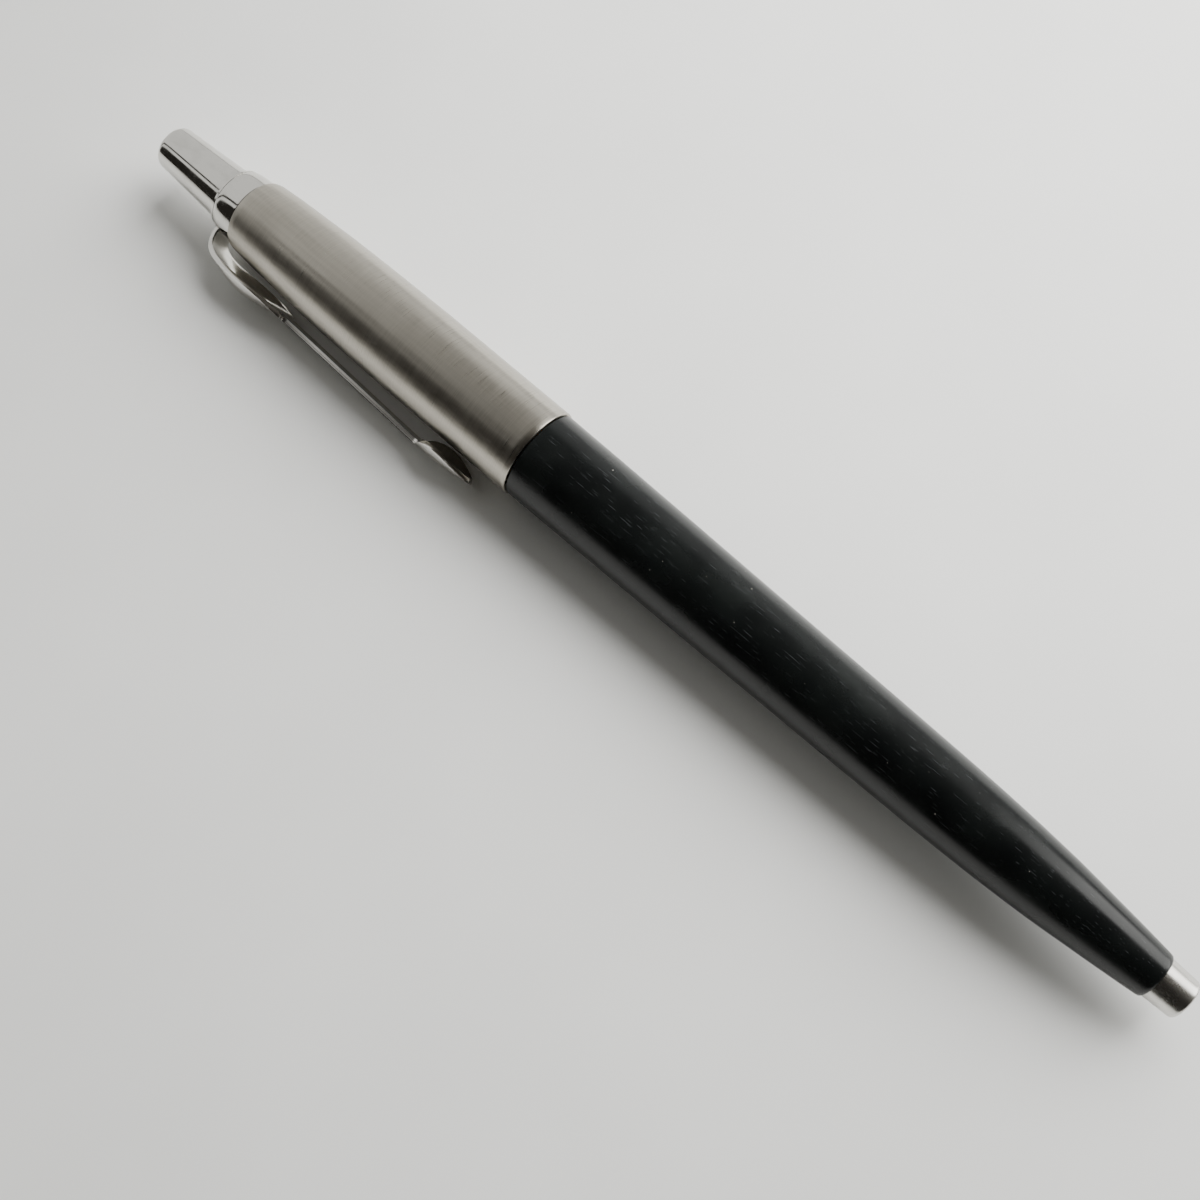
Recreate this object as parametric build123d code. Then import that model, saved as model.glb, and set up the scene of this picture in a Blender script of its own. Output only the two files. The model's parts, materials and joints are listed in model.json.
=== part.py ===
"""Push-button detector pen, lying on its cap and on the edge of its clip.

Pieces are built about the pen axis, which is X, with the button end at x = 0, the
nose at +X and the clip towards +Z. lay_down() then turns the pen until the clip
touches the surface it lies on, and centres it over the origin. Millimetres.
"""
import os
from math import asin, degrees, hypot, pi

from build123d import *

os.makedirs("parts", exist_ok=True)

# Refill: the pen is built outwards and backwards from it
refill_length = 98.1
refill_radius = 3.0
tube_wall = 0.25
neck_radius = 1.55
point_radius = 1.17
ball_radius = 0.5
spring_seat_from_tip = 23.5  # shoulder that the return spring pushes on
tip_recess = 1.0  # writing point behind the nose when retracted
crown_height = 4.0
crown_notches = 6

# Clearances and walls
run = 0.08  # radial gap of a sliding or turning fit
bore_gap = 0.30  # refill to barrel
bore_taper = 1.2  # from the refill's bore down to the spring's
shell_wall = 0.37
button_wall = 0.35
bush_wall = 0.25
sleeve_wall = 0.35
insert_wall = 0.47

# Button and cam mechanism
travel = 5.5
button_visible = 10.07
button_tip_ratio = 0.807
bush_length = 7.0
bush_rim = 0.25
flange_height = 1.0
guide_length = 4.0
rotor_height = 7.5
tooth_height = 0.6
cam_teeth = 8
guide_slots = 8
cam_gap = 0.2

# Collar, clip, cap and barrel
collar_height = 3.10
collar_line = 0.05  # shadow line between collar and cap
cap_length = 41.22
cap_flare = 1.223  # cap radius over its top radius
cap_floor = 0.6
seam_step = 0.16
thread_length = 9.0
thread_pitch = 0.75
thread_depth = 0.25
socket_depth = 6.0  # barrel thread inside the barrel
nose_visible = 3.19
nose_radius = 2.20
nose_seat = 8.8  # nose piece inside the barrel
clip_thickness = 0.50
clip_rise = 6.60  # outside of the clip above the pen axis, at its root
clip_lift = 1.0  # extra height where the spoon begins
clip_length = 38.1
clip_half_width = 2.55
shank_half_width = 0.85
shank_bow = 0.08
spoon_half_width = 2.55
spoon_bow = 1.30  # depth of the spoon
spoon_length = 7.2
upper_length = 10.2  # wide upper part of the clip
dome_rise = 1.10  # crest of the upper part above its ends
clip_bow = 1.45  # fall from that crest to the side edges
clip_gap = 0.30

# Return spring
wire_radius = 0.20
spring_turns = 9

# Radii that follow from the refill
button_radius = refill_radius + 0.12
bush_bore = button_radius + run
bush_radius = bush_bore + bush_wall
sleeve_radius = bush_radius + sleeve_wall
slot_radius = bush_radius - 0.07
rib_radius = slot_radius - run
stem_radius = 0.9 * refill_radius
cap_top_radius = sleeve_radius + shell_wall
cap_radius = cap_flare * cap_top_radius
barrel_radius = cap_radius - seam_step
barrel_bore = refill_radius + bore_gap
insert_radius = cap_radius - shell_wall
thread_bore = insert_radius - insert_wall
thread_radius = thread_bore - run
socket_radius = thread_radius - 0.15
collar_radius = 0.924 * cap_top_radius
nose_stem_radius = nose_radius - 0.35
nose_bore = point_radius + run
spring_bore = neck_radius + 0.95
spring_radius = (neck_radius + spring_bore) / 2

# Stations along the axis
x_collar = button_visible
x_cap = x_collar + collar_height
x_seam = x_cap + cap_length
x_bush_end = x_collar + bush_length
x_flange = x_bush_end + 0.3
x_guide = x_flange + flange_height + travel + 0.5
x_guide_end = x_guide + guide_length
x_core_end = x_guide + 1.5
x_rotor = x_core_end + tooth_height + cam_gap
x_refill = x_rotor + rotor_height
x_sleeve_end = x_guide_end + travel + 2.0
x_point = x_refill + refill_length
x_tip = x_point + tip_recess
x_nose = x_tip - nose_visible
x_shoulder = x_nose - nose_seat
x_seat = x_point - spring_seat_from_tip
x_bore_end = x_seat + travel + bore_gap
x_clip = x_collar + 2.3
x_spoon_end = x_clip + clip_length
x_spoon = x_spoon_end - spoon_length


def turned(*points):
    """Solid of revolution about the pen axis from (x, radius) corners."""
    return revolve(make_face(Polyline(*points, close=True)), Axis.X)


def turned_curve(curve, *corners):
    """Solid of revolution whose outside follows a smooth curve, closed by straight corners."""
    outline = Curve() + Spline(*curve) + Polyline(curve[-1], *corners, curve[0])
    return revolve(make_face(outline.edges()), Axis.X)


def sector(start, end, inner, outer, width_deg, middle_deg):
    """Block that fills part of a ring: a rib or a slot of the cam mechanism."""
    face = make_face(Polyline((start, inner), (end, inner), (end, outer), (start, outer), close=True))
    return Rot(X=middle_deg - width_deg / 2) * revolve(face, Axis.X, width_deg)


def cam_tooth(root, height, middle_deg):
    """One pointed tooth of the cam ring; a negative height points back to the button."""
    half = pi * stem_radius / cam_teeth * 0.92
    sunk = root - height / 3
    corners = [(sunk, -half), (root, -half), (root + height, 0), (root, half), (sunk, half)]
    block = extrude(make_face(Polyline(*corners, close=True)), amount=stem_radius + 1, dir=(0, 0, 1))
    inner, outer = 0.6 * stem_radius, stem_radius - 0.03
    ring = turned((sunk, inner), (root + height, inner), (root + height, outer), (sunk, outer))
    return Rot(X=middle_deg) * (block & ring)


def button_wall_at(x):
    """Outside radius of the button's tapered part."""
    tip = button_tip_ratio * button_radius
    return tip + (button_radius - tip) * (x - 0.6) / (button_visible - 0.6)


def push_button():
    """Drawn steel button: domed edge, gentle taper, guide length and stop flange."""
    end = x_flange + flange_height
    inner = button_radius - button_wall
    outline = (
        Curve()
        + Polyline((1.0, 0), (0, 0), (0, button_wall_at(0.6) - 0.6))
        + RadiusArc((0, button_wall_at(0.6) - 0.6), (0.6, button_wall_at(0.6)), 0.6)
        + Polyline((0.6, button_wall_at(0.6)), (x_collar, button_radius), (x_flange, button_radius),
                   (x_flange, rib_radius), (end, rib_radius), (end, inner), (x_collar, inner),
                   (1.0, button_wall_at(1.0) - button_wall), (1.0, 0))
    )
    return revolve(make_face(outline.edges()), Axis.X)


def button_core():
    """Moulded plunger inside the button, with guide ribs and a ring of cam teeth."""
    inner = button_radius - button_wall
    core = turned((1.0, 0), (1.0, button_wall_at(1.0) - button_wall), (x_collar, inner),
                  (x_flange + flange_height, inner), (x_flange + flange_height, stem_radius),
                  (x_core_end, stem_radius), (x_core_end, 0))
    for k in range(0, guide_slots, 2):
        core += sector(x_guide - 3.0, x_core_end - 0.3, stem_radius - 0.5, rib_radius, 14, k * 360 / guide_slots)
    for k in range(cam_teeth):
        core += cam_tooth(x_core_end, tooth_height, k * 360 / cam_teeth)
    return core


def cam_rotor():
    """Rotating cam: teeth facing the plunger, latching ribs, and a face that pushes the refill."""
    top = x_core_end + tooth_height + cam_gap
    rotor = turned((top, 0), (top, stem_radius), (x_refill, stem_radius), (x_refill, 0))
    for k in range(0, guide_slots, 2):
        rotor += sector(top + 0.2, top + 2.2, stem_radius - 0.5, rib_radius, 14, k * 360 / guide_slots)
    for k in range(cam_teeth):
        rotor += cam_tooth(top, -tooth_height, (k + 0.5) * 360 / cam_teeth)
    return rotor


def retaining_bush():
    """Threaded bush that clamps the clip's collar on the cap and guides the button."""
    return turned((x_collar - 0.1, bush_bore), (x_collar - 0.1, bush_radius + 0.1),
                  (x_collar - 0.1 + bush_rim, bush_radius + 0.15), (x_collar - 0.1 + bush_rim, bush_radius),
                  (x_bush_end, bush_radius), (x_bush_end, bush_bore))


def mechanism_sleeve():
    """Slotted guide tube around the cam parts."""
    sleeve = turned((x_cap + cap_floor, bush_radius), (x_cap + cap_floor, sleeve_radius),
                    (x_sleeve_end, sleeve_radius), (x_sleeve_end, slot_radius),
                    (x_guide, slot_radius), (x_guide, bush_radius))
    for k in range(guide_slots):
        sleeve += sector(x_guide, x_guide_end, stem_radius + run, slot_radius + 0.1,
                         180 / guide_slots + 4, (k + 0.5) * 360 / guide_slots)
    return sleeve


def clip_ring():
    """Domed collar of the clip with the shoulder that carries the blade."""
    top = x_collar - 0.1 + bush_rim
    low = x_cap - collar_line
    dome = ((top, bush_radius + 0.25), (top + 0.5, collar_radius * 0.968), (top + 1.5, collar_radius * 0.99),
            (low, collar_radius))
    collar = turned_curve(dome, (low, bush_radius), (top, bush_radius))
    out, x_end = clip_rise, x_clip - clip_gap
    shoulder = (
        Curve()
        + Polyline((top + 0.9, collar_radius - 0.15), (top + 0.35, collar_radius - 0.15), (top + 0.35, out - 1.7))
        + Spline((top + 0.35, out - 1.7), (top + 0.85, out - 0.75), (x_end, out - 0.25),
                 tangents=((0.1, 1), (1, 0.4)))
        + Line((x_end, out - 0.25), (x_end, out - 0.25 - clip_thickness))
        + Spline((x_end, out - 0.25 - clip_thickness), (top + 1.25, out - 1.1), (top + 0.9, out - 1.7),
                 tangents=((-1, -0.4), (-0.1, -1)))
        + Line((top + 0.9, out - 1.7), (top + 0.9, collar_radius - 0.15))
    )
    wide = degrees(asin(0.8 * clip_half_width / clip_rise)) * 2
    tab = Rot(X=90 - wide / 2) * revolve(make_face(shoulder.edges()), Axis.X, wide)
    return collar + tab


def blade_section(x, crest, half_width, bow):
    """Cross-section of the blade at x: a strip of even thickness, bowed outwards."""
    radius = (half_width ** 2 + bow ** 2) / (2 * bow)
    side = degrees(asin(half_width / radius))
    outer = CenterArc((0, 0), radius, 90 - side, 2 * side)
    inner = CenterArc((0, 0), radius - clip_thickness, 90 - side, 2 * side)
    strip = make_face([outer, inner, Line(outer @ 0, inner @ 0), Line(outer @ 1, inner @ 1)])
    return Plane(origin=(x, 0, crest - radius), x_dir=(0, 1, 0), z_dir=(1, 0, 0)) * strip


def clip_blade():
    """Clip blade: domed upper part, narrow shank that rises along its length, and a deep rounded spoon."""
    low, high = clip_rise - 0.1, clip_rise - 0.1 + clip_lift
    x_step, x_shank = x_clip + upper_length, x_clip + upper_length + 0.7
    upper = [(x_clip, low, 0.80, 0.28), (x_clip + 1.0, low + 0.35 * dome_rise, 0.90, 0.52),
             (x_clip + 2.2, low + 0.77 * dome_rise, 0.98, 0.83), (x_clip + 3.7, low + dome_rise, 1.0, 1.0),
             (x_clip + 5.5, low + 0.91 * dome_rise, 0.96, 0.90), (x_clip + 7.8, low + 0.55 * dome_rise, 0.85, 0.59),
             (x_step, low + 0.27 * dome_rise, 0.69, 0.24)]
    shank = [(x_shank + f * (x_spoon - x_shank), low + (0.28 + 0.72 * f) * clip_lift) for f in (0, 0.5, 1)]
    spoon = [(0.07, 0.0, 0.69, 0.44), (0.17, 0.05, 0.92, 0.84), (0.33, 0.05, 1.0, 1.0), (0.54, -0.05, 0.88, 0.78),
             (0.75, -0.2, 0.63, 0.44), (0.92, -0.4, 0.35, 0.16), (1.0, -0.55, 0.1, 0.02)]
    sections = [blade_section(x, crest, w * clip_half_width, b * clip_bow) for x, crest, w, b in upper]
    sections += [blade_section(x, crest, shank_half_width, shank_bow) for x, crest in shank]
    sections += [blade_section(x_spoon + f * spoon_length, high + drop, w * spoon_half_width, b * spoon_bow)
                 for f, drop, w, b in spoon]
    return loft(sections, ruled=True)


def cap_shell():
    """Drawn steel cap: floor with the bush hole, swelling wall and a plain mouth."""
    shape = [(0, 1 / cap_flare), (0.08, 0.878), (0.3, 0.958), (0.55, 0.997)]
    wall = [(x_cap + f * cap_length, g * cap_radius) for f, g in shape]
    straight = x_cap + 0.6 * cap_length
    outside = Curve() + Spline(*wall, (straight, cap_radius)) + Polyline(
        (straight, cap_radius), (x_seam, cap_radius), (x_seam, insert_radius), (straight, insert_radius))
    hollow = [(x, r - shell_wall) for x, r in reversed(wall)]
    hollow[-1] = (x_cap + cap_floor, cap_top_radius - shell_wall + 0.06)
    inside = Spline((straight, insert_radius), *hollow) + Polyline(
        hollow[-1], (x_cap + cap_floor, bush_radius), (x_cap, bush_radius), wall[0])
    return revolve(make_face((outside + inside).edges()), Axis.X)


def thread_insert():
    """Brass nut pressed into the cap mouth; the barrel screws into it."""
    start, end = x_seam - thread_length - 1.0, x_seam - 0.6
    return turned((start, thread_bore), (start, insert_radius), (end, insert_radius), (end, thread_bore))


def barrel_thread():
    """Brass male thread pressed into the barrel mouth."""
    start = x_seam - thread_length
    corners = [(start, barrel_bore), (start, thread_radius - thread_depth)]
    x = start + 0.4
    while x < x_seam - 1.5:
        corners += [(x, thread_radius - thread_depth), (x + thread_pitch / 2, thread_radius)]
        x += thread_pitch
    corners += [(x, thread_radius - thread_depth), (x_seam + 0.1, thread_radius - thread_depth),
                (x_seam + 0.1, socket_radius), (x_seam + socket_depth, socket_radius),
                (x_seam + socket_depth, barrel_bore)]
    return turned(*corners)


def lower_barrel():
    """Moulded barrel: long taper to a rounded nose, bored for the refill, spring and nose piece."""
    shape = [(0, 1), (0.2, 0.9625), (0.4, 0.916), (0.6, 0.868), (0.74, 0.823),
             (0.84, 0.731), (0.91, 0.633), (0.96, 0.556), (1, 0.485)]
    x_mouth = x_seam + 0.1
    length = x_nose - x_mouth
    outside = [(x_mouth + f * length, g * barrel_radius) for f, g in shape]
    outside[-1] = (x_nose, max(nose_radius + 0.15, outside[-1][1]))
    body = turned_curve(outside, (x_nose, nose_stem_radius), (x_shoulder, nose_stem_radius),
                        (x_shoulder, spring_bore), (x_bore_end + bore_taper, spring_bore), (x_bore_end, barrel_bore),
                        (x_seam + socket_depth, barrel_bore), (x_seam + socket_depth, socket_radius),
                        (x_mouth, socket_radius))
    return body


def nose_tip():
    """Turned steel nose: stem inside the barrel, visible tube and rounded hole for the point."""
    front = 0.945 * nose_radius
    outline = (
        Curve()
        + Polyline((x_tip, nose_bore), (x_tip, front - 0.45))
        + RadiusArc((x_tip, front - 0.45), (x_tip - 0.45, front), -0.45)
        + Polyline((x_tip - 0.45, front), (x_nose, nose_radius), (x_nose, nose_stem_radius),
                   (x_shoulder, nose_stem_radius), (x_shoulder, nose_stem_radius - 0.35),
                   (x_tip - 2.2, nose_stem_radius - 0.35), (x_tip - 1.8, nose_bore), (x_tip, nose_bore))
    )
    return revolve(make_face(outline.edges()), Axis.X)


def return_spring():
    """Coil spring between the barrel's shoulder and the refill."""
    length = x_shoulder - x_seat - 2 * wire_radius
    path = Helix(length / spring_turns, length, spring_radius, center=(x_seat + wire_radius, 0, 0),
                 direction=(1, 0, 0))
    return sweep(Plane(path @ 0, z_dir=path % 0) * Circle(wire_radius), path=path)


def refill_crown():
    """Notched plastic plug that closes the refill and takes the cam's push."""
    inner = refill_radius - tube_wall
    crown = turned((x_refill, 0), (x_refill, inner), (x_refill + 1.5, refill_radius),
                   (x_refill + 2.0, refill_radius), (x_refill + 2.0, inner),
                   (x_refill + crown_height, inner), (x_refill + crown_height, 0))
    for k in range(crown_notches):
        crown -= sector(x_refill + 0.4, x_refill + 1.4, inner - 0.7, refill_radius + 1, 20, k * 360 / crown_notches)
    return crown


def refill_tube():
    """Metal ink tube, necked down to hold the point, with the spring's shoulder."""
    inner = refill_radius - tube_wall
    return turned((x_refill + 2.0, inner), (x_refill + 2.0, refill_radius), (x_seat - 1.8, refill_radius),
                  (x_seat, spring_radius + 0.2), (x_seat, neck_radius), (x_point - 17.5, neck_radius),
                  (x_point - 16.0, point_radius + 0.1), (x_point - 16.0, point_radius),
                  (x_seat - 0.3, point_radius), (x_seat - 2.4, inner))


def refill_point():
    """Turned point: parallel stem, writing cone and the socket that holds the ball."""
    seat = x_point - ball_radius
    point = turned((x_point - 21.0, 0.4), (x_point - 21.0, point_radius), (x_point - 2.6, point_radius),
                   (x_point - 0.45, ball_radius + 0.06), (x_point - 0.45, 0.3), (seat - 1.2, 0.3),
                   (seat - 1.2, 0.4))
    return point - Pos(seat, 0, 0) * Sphere(ball_radius + 0.01)


def writing_ball():
    """Ball that carries the detector ink to the note."""
    return Pos(x_point - ball_radius, 0, 0) * Sphere(ball_radius)


def ink_follower():
    """Grease plug behind the ink."""
    start = x_refill + crown_height + 4.0
    return turned((start, 0), (start, refill_radius - tube_wall), (start + 3.0, refill_radius - tube_wall),
                  (start + 3.0, 0))


def ink_column():
    """Iodine detector ink in the tube."""
    start, end = x_refill + crown_height + 7.0, x_seat - 2.4
    return turned((start, 0), (start, refill_radius - tube_wall), (end, refill_radius - tube_wall), (end, 0))


def lay_down(pieces):
    """Turn the pen until the edge of the clip's spoon touches, then centre it over the origin."""
    rho = hypot(clip_rise - 0.05 + clip_lift - spoon_bow, spoon_half_width)
    drop = degrees(asin(cap_radius / rho) - asin(spoon_half_width / rho))
    turn = Rot(X=90 + drop)
    laid = {name: turn * piece for name, piece in pieces.items()}
    box = Compound([solid for piece in laid.values() for solid in piece.solids()]).bounding_box()
    shift = Pos(-box.center().X, -box.center().Y, cap_radius)
    return {name: shift * piece for name, piece in laid.items()}


def main():
    makers = [push_button, button_core, cam_rotor, retaining_bush, mechanism_sleeve, clip_ring, clip_blade,
              cap_shell, thread_insert, barrel_thread, lower_barrel, nose_tip, return_spring, refill_crown,
              refill_tube, refill_point, writing_ball, ink_follower, ink_column]
    for name, piece in lay_down({make.__name__: make() for make in makers}).items():
        export_step(piece, f"parts/{name}.step")


if __name__ == "__main__":
    main()
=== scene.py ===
"""Looks of a push-button detector pen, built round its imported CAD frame.

Every size is in millimetres in the classes below and becomes metres in the mesh
functions. The pen axis runs along X, from the push button to the writing point.
"""
import json
import logging
import math
from dataclasses import dataclass, field
from enum import Enum
from typing import Iterable, Sequence

import bpy
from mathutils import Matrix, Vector
from mathutils.geometry import interpolate_bezier


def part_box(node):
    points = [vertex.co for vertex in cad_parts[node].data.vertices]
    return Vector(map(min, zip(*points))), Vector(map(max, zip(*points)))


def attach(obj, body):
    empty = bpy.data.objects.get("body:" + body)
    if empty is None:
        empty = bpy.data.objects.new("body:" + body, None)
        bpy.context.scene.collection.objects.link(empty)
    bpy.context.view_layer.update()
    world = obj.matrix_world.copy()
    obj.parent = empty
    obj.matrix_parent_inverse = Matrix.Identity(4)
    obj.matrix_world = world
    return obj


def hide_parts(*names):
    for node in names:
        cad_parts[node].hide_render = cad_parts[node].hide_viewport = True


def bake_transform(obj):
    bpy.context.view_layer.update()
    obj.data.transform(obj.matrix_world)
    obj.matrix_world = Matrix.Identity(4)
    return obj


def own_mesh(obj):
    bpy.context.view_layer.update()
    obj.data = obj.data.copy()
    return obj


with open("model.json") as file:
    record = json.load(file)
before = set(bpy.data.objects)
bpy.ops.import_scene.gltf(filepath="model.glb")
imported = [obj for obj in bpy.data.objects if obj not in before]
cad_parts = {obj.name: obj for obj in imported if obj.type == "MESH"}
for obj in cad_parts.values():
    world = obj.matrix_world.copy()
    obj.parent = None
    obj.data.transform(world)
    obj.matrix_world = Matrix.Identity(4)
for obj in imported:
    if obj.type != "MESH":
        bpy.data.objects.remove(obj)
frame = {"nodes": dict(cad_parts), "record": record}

log = logging.getLogger("detector_pen")
MM = 0.001
SEAM = 0.002  # points closer than this become one, in millimetres
NOISE_SPAN = (0.3, 0.7)  # where nearly all of the noise's values lie
Profile = list[tuple[float, float]]
Span = tuple[float, float]
Value = float | tuple | bpy.types.Node | bpy.types.NodeSocket


class Metal(Enum):
    """Base colours of the metals, as sRGB hex values."""

    STAINLESS = "#BDB8AE"
    POLISHED = "#D9D7D2"
    SPRING = "#B4B4B2"
    NICKEL = "#CFCABB"
    BRASS = "#C9A45C"
    CARBIDE = "#77787B"


class Moulded(Enum):
    """Colours of the moulded parts and of what is inside the refill."""

    BLACK = "#0B0D0D"
    IVORY = "#D6D2C6"
    RED = "#8E2A22"
    GREASE = "#C9BE93"
    INK = "#4A2A12"


class Kind(Enum):
    """Shader nodes in use, each with its settings."""

    COORDINATES = "ShaderNodeTexCoord", {}
    MAPPING = "ShaderNodeMapping", {}
    NOISE = "ShaderNodeTexNoise", {}
    CELLS = "ShaderNodeTexVoronoi", {}
    RANGE = "ShaderNodeMapRange", {}
    MIX = "ShaderNodeMix", {"data_type": "RGBA"}
    ADD = "ShaderNodeMath", {"operation": "ADD"}
    MULTIPLY = "ShaderNodeMath", {"operation": "MULTIPLY"}
    LARGER = "ShaderNodeMath", {"operation": "MAXIMUM"}
    BELOW = "ShaderNodeMath", {"operation": "LESS_THAN"}
    ABSOLUTE = "ShaderNodeMath", {"operation": "ABSOLUTE"}
    SEPARATE = "ShaderNodeSeparateXYZ", {}
    BUMP = "ShaderNodeBump", {}
    TANGENT = "ShaderNodeTangent", {"direction_type": "RADIAL", "axis": "X"}
    PRINCIPLED = "ShaderNodeBsdfPrincipled", {}
    SURFACE = "ShaderNodeOutputMaterial", {}
    BACKGROUND = "ShaderNodeBackground", {}
    WORLD = "ShaderNodeOutputWorld", {}


def linear(code: str) -> tuple[float, float, float, float]:
    """Turns an sRGB hex colour into the linear colour a shader takes.

    Args:
        code: Colour such as "#D9D7D2".

    Returns:
        Linear red, green, blue and an alpha of one.
    """
    parts = [int(code[i:i + 2], 16) / 255 for i in (1, 3, 5)]
    red, green, blue = (v / 12.92 if v <= 0.04045 else ((v + 0.055) / 1.055) ** 2.4 for v in parts)
    return red, green, blue, 1.0


def dimmed(colour: tuple[float, float, float, float], share: float) -> tuple[float, ...]:
    """Gives a linear colour at a share of its brightness."""
    return tuple(v * share for v in colour[:3]) + (1.0,)


def add_node(tree: bpy.types.NodeTree, kind: Kind, *values: Value,
             **named: Value) -> bpy.types.Node:
    """Adds one node with its settings, values and links.

    Args:
        tree: Node tree that gets the node.
        kind: Kind of the node.
        *values: What goes into the inputs in use, in their order. A node stands for its first
            output in use.
        **named: What goes into the inputs of these names.

    Returns:
        The new node.
    """
    name, settings = kind.value
    node = tree.nodes.new(name)
    for setting, choice in settings.items():
        setattr(node, setting, choice)
    in_order = zip([socket for socket in node.inputs if socket.enabled], values)
    for socket, value in [*in_order, *((node.inputs[key], value) for key, value in named.items())]:
        if isinstance(value, bpy.types.Node):
            value = next(output for output in value.outputs if output.enabled)
        if isinstance(value, bpy.types.NodeSocket):
            tree.links.new(value, socket)
        else:
            socket.default_value = value
    return node


def grain(tree: bpy.types.NodeTree, spacing: tuple[float, float, float], detail: float = 2.0,
          turn: tuple[float, float, float] = (0, 0, 0)) -> bpy.types.Node:
    """Draws noise whose grain has a given size along each axis.

    Args:
        tree: Node tree that gets the nodes.
        spacing: Size of the grain along X, Y and Z, in millimetres.
        detail: Octaves of finer noise.
        turn: Rotation of the pattern, in radians.

    Returns:
        The noise node.
    """
    place = add_node(tree, Kind.COORDINATES).outputs["Object"]
    size = tuple(1 / (s * MM) for s in spacing)
    mapped = add_node(tree, Kind.MAPPING, Vector=place, Rotation=turn, Scale=size)
    return add_node(tree, Kind.NOISE, Vector=mapped, Scale=1.0, Detail=detail)


@dataclass(frozen=True)
class Finish:
    """Finish of a piece: a material of one name, made from one recipe."""

    name: str

    def material(self) -> bpy.types.Material:
        """Builds the material.

        Returns:
            The new material.
        """
        material = bpy.data.materials.new(self.name)
        material.use_nodes = True
        tree = material.node_tree
        tree.nodes.clear()
        shader = add_node(tree, Kind.PRINCIPLED, **self.recipe(tree))
        add_node(tree, Kind.SURFACE, Surface=shader)
        return material

    def recipe(self, tree: bpy.types.NodeTree) -> dict[str, Value]:
        """Gives what goes into the shader, in each finish its own way.

        Args:
            tree: The material's node tree.

        Returns:
            Input names of the shader with their values.
        """
        raise NotImplementedError


@dataclass(frozen=True)
class BrushedSteel(Finish):
    """Stainless tube brushed round and round: a soft sheen, fine rings and a few pale lines of
    painted highlight along the tube.
    """

    name: str = "stainless_steel_brushed"
    line_spacing: float = 0.10  # real scratches are finer, drawn wide enough to show
    line_length: float = 3.5
    line_depth: float = 0.004
    roughness: float = 0.33
    ring_tint: str = "#AEA99F"
    # the long, thin pale lines along the tube are painted highlight, mixed into the base colour
    highlight_streak_tint: str = "#CDC8BD"
    highlight_streak_share: float = 0.35
    highlight_streak_size: tuple[float, float, float] = (26.0, 0.5, 0.5)
    highlight_streak_edge: Span = (0.42, 0.75)
    handling_size: tuple[float, float, float] = (9.0, 5.0, 5.0)

    def recipe(self, tree: bpy.types.NodeTree) -> dict[str, Value]:
        """Crosses the rings with pale lines of painted highlight along the tube and dulls it where
        hands have been.

        Args:
            tree: The material's node tree.

        Returns:
            Input names of the shader with their values.
        """
        rings = grain(tree, (self.line_spacing, self.line_length, self.line_length), detail=3.0)
        # noise for the pale lines of painted highlight along the tube
        painted_highlight_streaks = grain(tree, self.highlight_streak_size, detail=2.0)
        handling = grain(tree, self.handling_size, detail=3.0)
        ringed = add_node(tree, Kind.MIX, add_node(tree, Kind.RANGE, rings, *NOISE_SPAN),
                          linear(self.ring_tint), linear(Metal.STAINLESS.value))
        # how much painted highlight goes into the base colour along those lines
        share = add_node(tree, Kind.RANGE, painted_highlight_streaks, *self.highlight_streak_edge, 0.0, self.highlight_streak_share)
        brushing = add_node(tree, Kind.RANGE, rings, 0.25, 0.75, self.roughness - 0.05,
                            self.roughness + 0.07)
        wear = add_node(tree, Kind.RANGE, handling, 0.4, 0.7, -0.03, 0.05)
        return {
            "Base Color": add_node(tree, Kind.MIX, share, ringed, linear(self.highlight_streak_tint)),
            "Roughness": add_node(tree, Kind.ADD, brushing, wear),
            "Normal": add_node(tree, Kind.BUMP, Strength=0.25, Distance=self.line_depth * MM,
                               Height=rings),
            "Tangent": add_node(tree, Kind.TANGENT),
            "Metallic": 1.0,
            "Anisotropic": 0.6,
            "Anisotropic Rotation": 0.25,
        }


@dataclass(frozen=True)
class PolishedMetal(Finish):
    """Buffed or plated metal: mirror bright, with hairline scratches and faint finger marks."""

    metal: Metal
    roughness: float = 0.07
    wear: float = 0.10
    hair_size: tuple[float, float, float] = (0.9, 0.06, 0.06)  # wider than real, so as to show
    hair_edge: Span = (0.62, 0.75)
    hair_turn: tuple[float, float, float] = (0.3, 0.2, 0.5)
    hair_depth: float = 0.002
    smear_size: tuple[float, float, float] = (2.4, 1.6, 1.6)
    smear_share: float = 0.86

    def recipe(self, tree: bpy.types.NodeTree) -> dict[str, Value]:
        """Blurs the mirror in smears and hairlines.

        Args:
            tree: The material's node tree.

        Returns:
            Input names of the shader with their values.
        """
        hairs = grain(tree, self.hair_size, 2.0, self.hair_turn)
        smears = grain(tree, self.smear_size, detail=3.0)
        smeared = add_node(tree, Kind.RANGE, smears, 0.4, 0.75, self.roughness,
                           self.roughness + self.wear)
        scratched = add_node(tree, Kind.RANGE, hairs, *self.hair_edge, 0.0, 0.12)
        bright = linear(self.metal.value)
        return {
            "Base Color": add_node(tree, Kind.MIX, add_node(tree, Kind.RANGE, smears, 0.45, 0.8),
                                   bright, dimmed(bright, self.smear_share)),
            "Roughness": add_node(tree, Kind.ADD, smeared, scratched),
            "Normal": add_node(tree, Kind.BUMP, Strength=0.08, Distance=self.hair_depth * MM,
                               Height=hairs),
            "Metallic": 1.0,
        }


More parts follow.
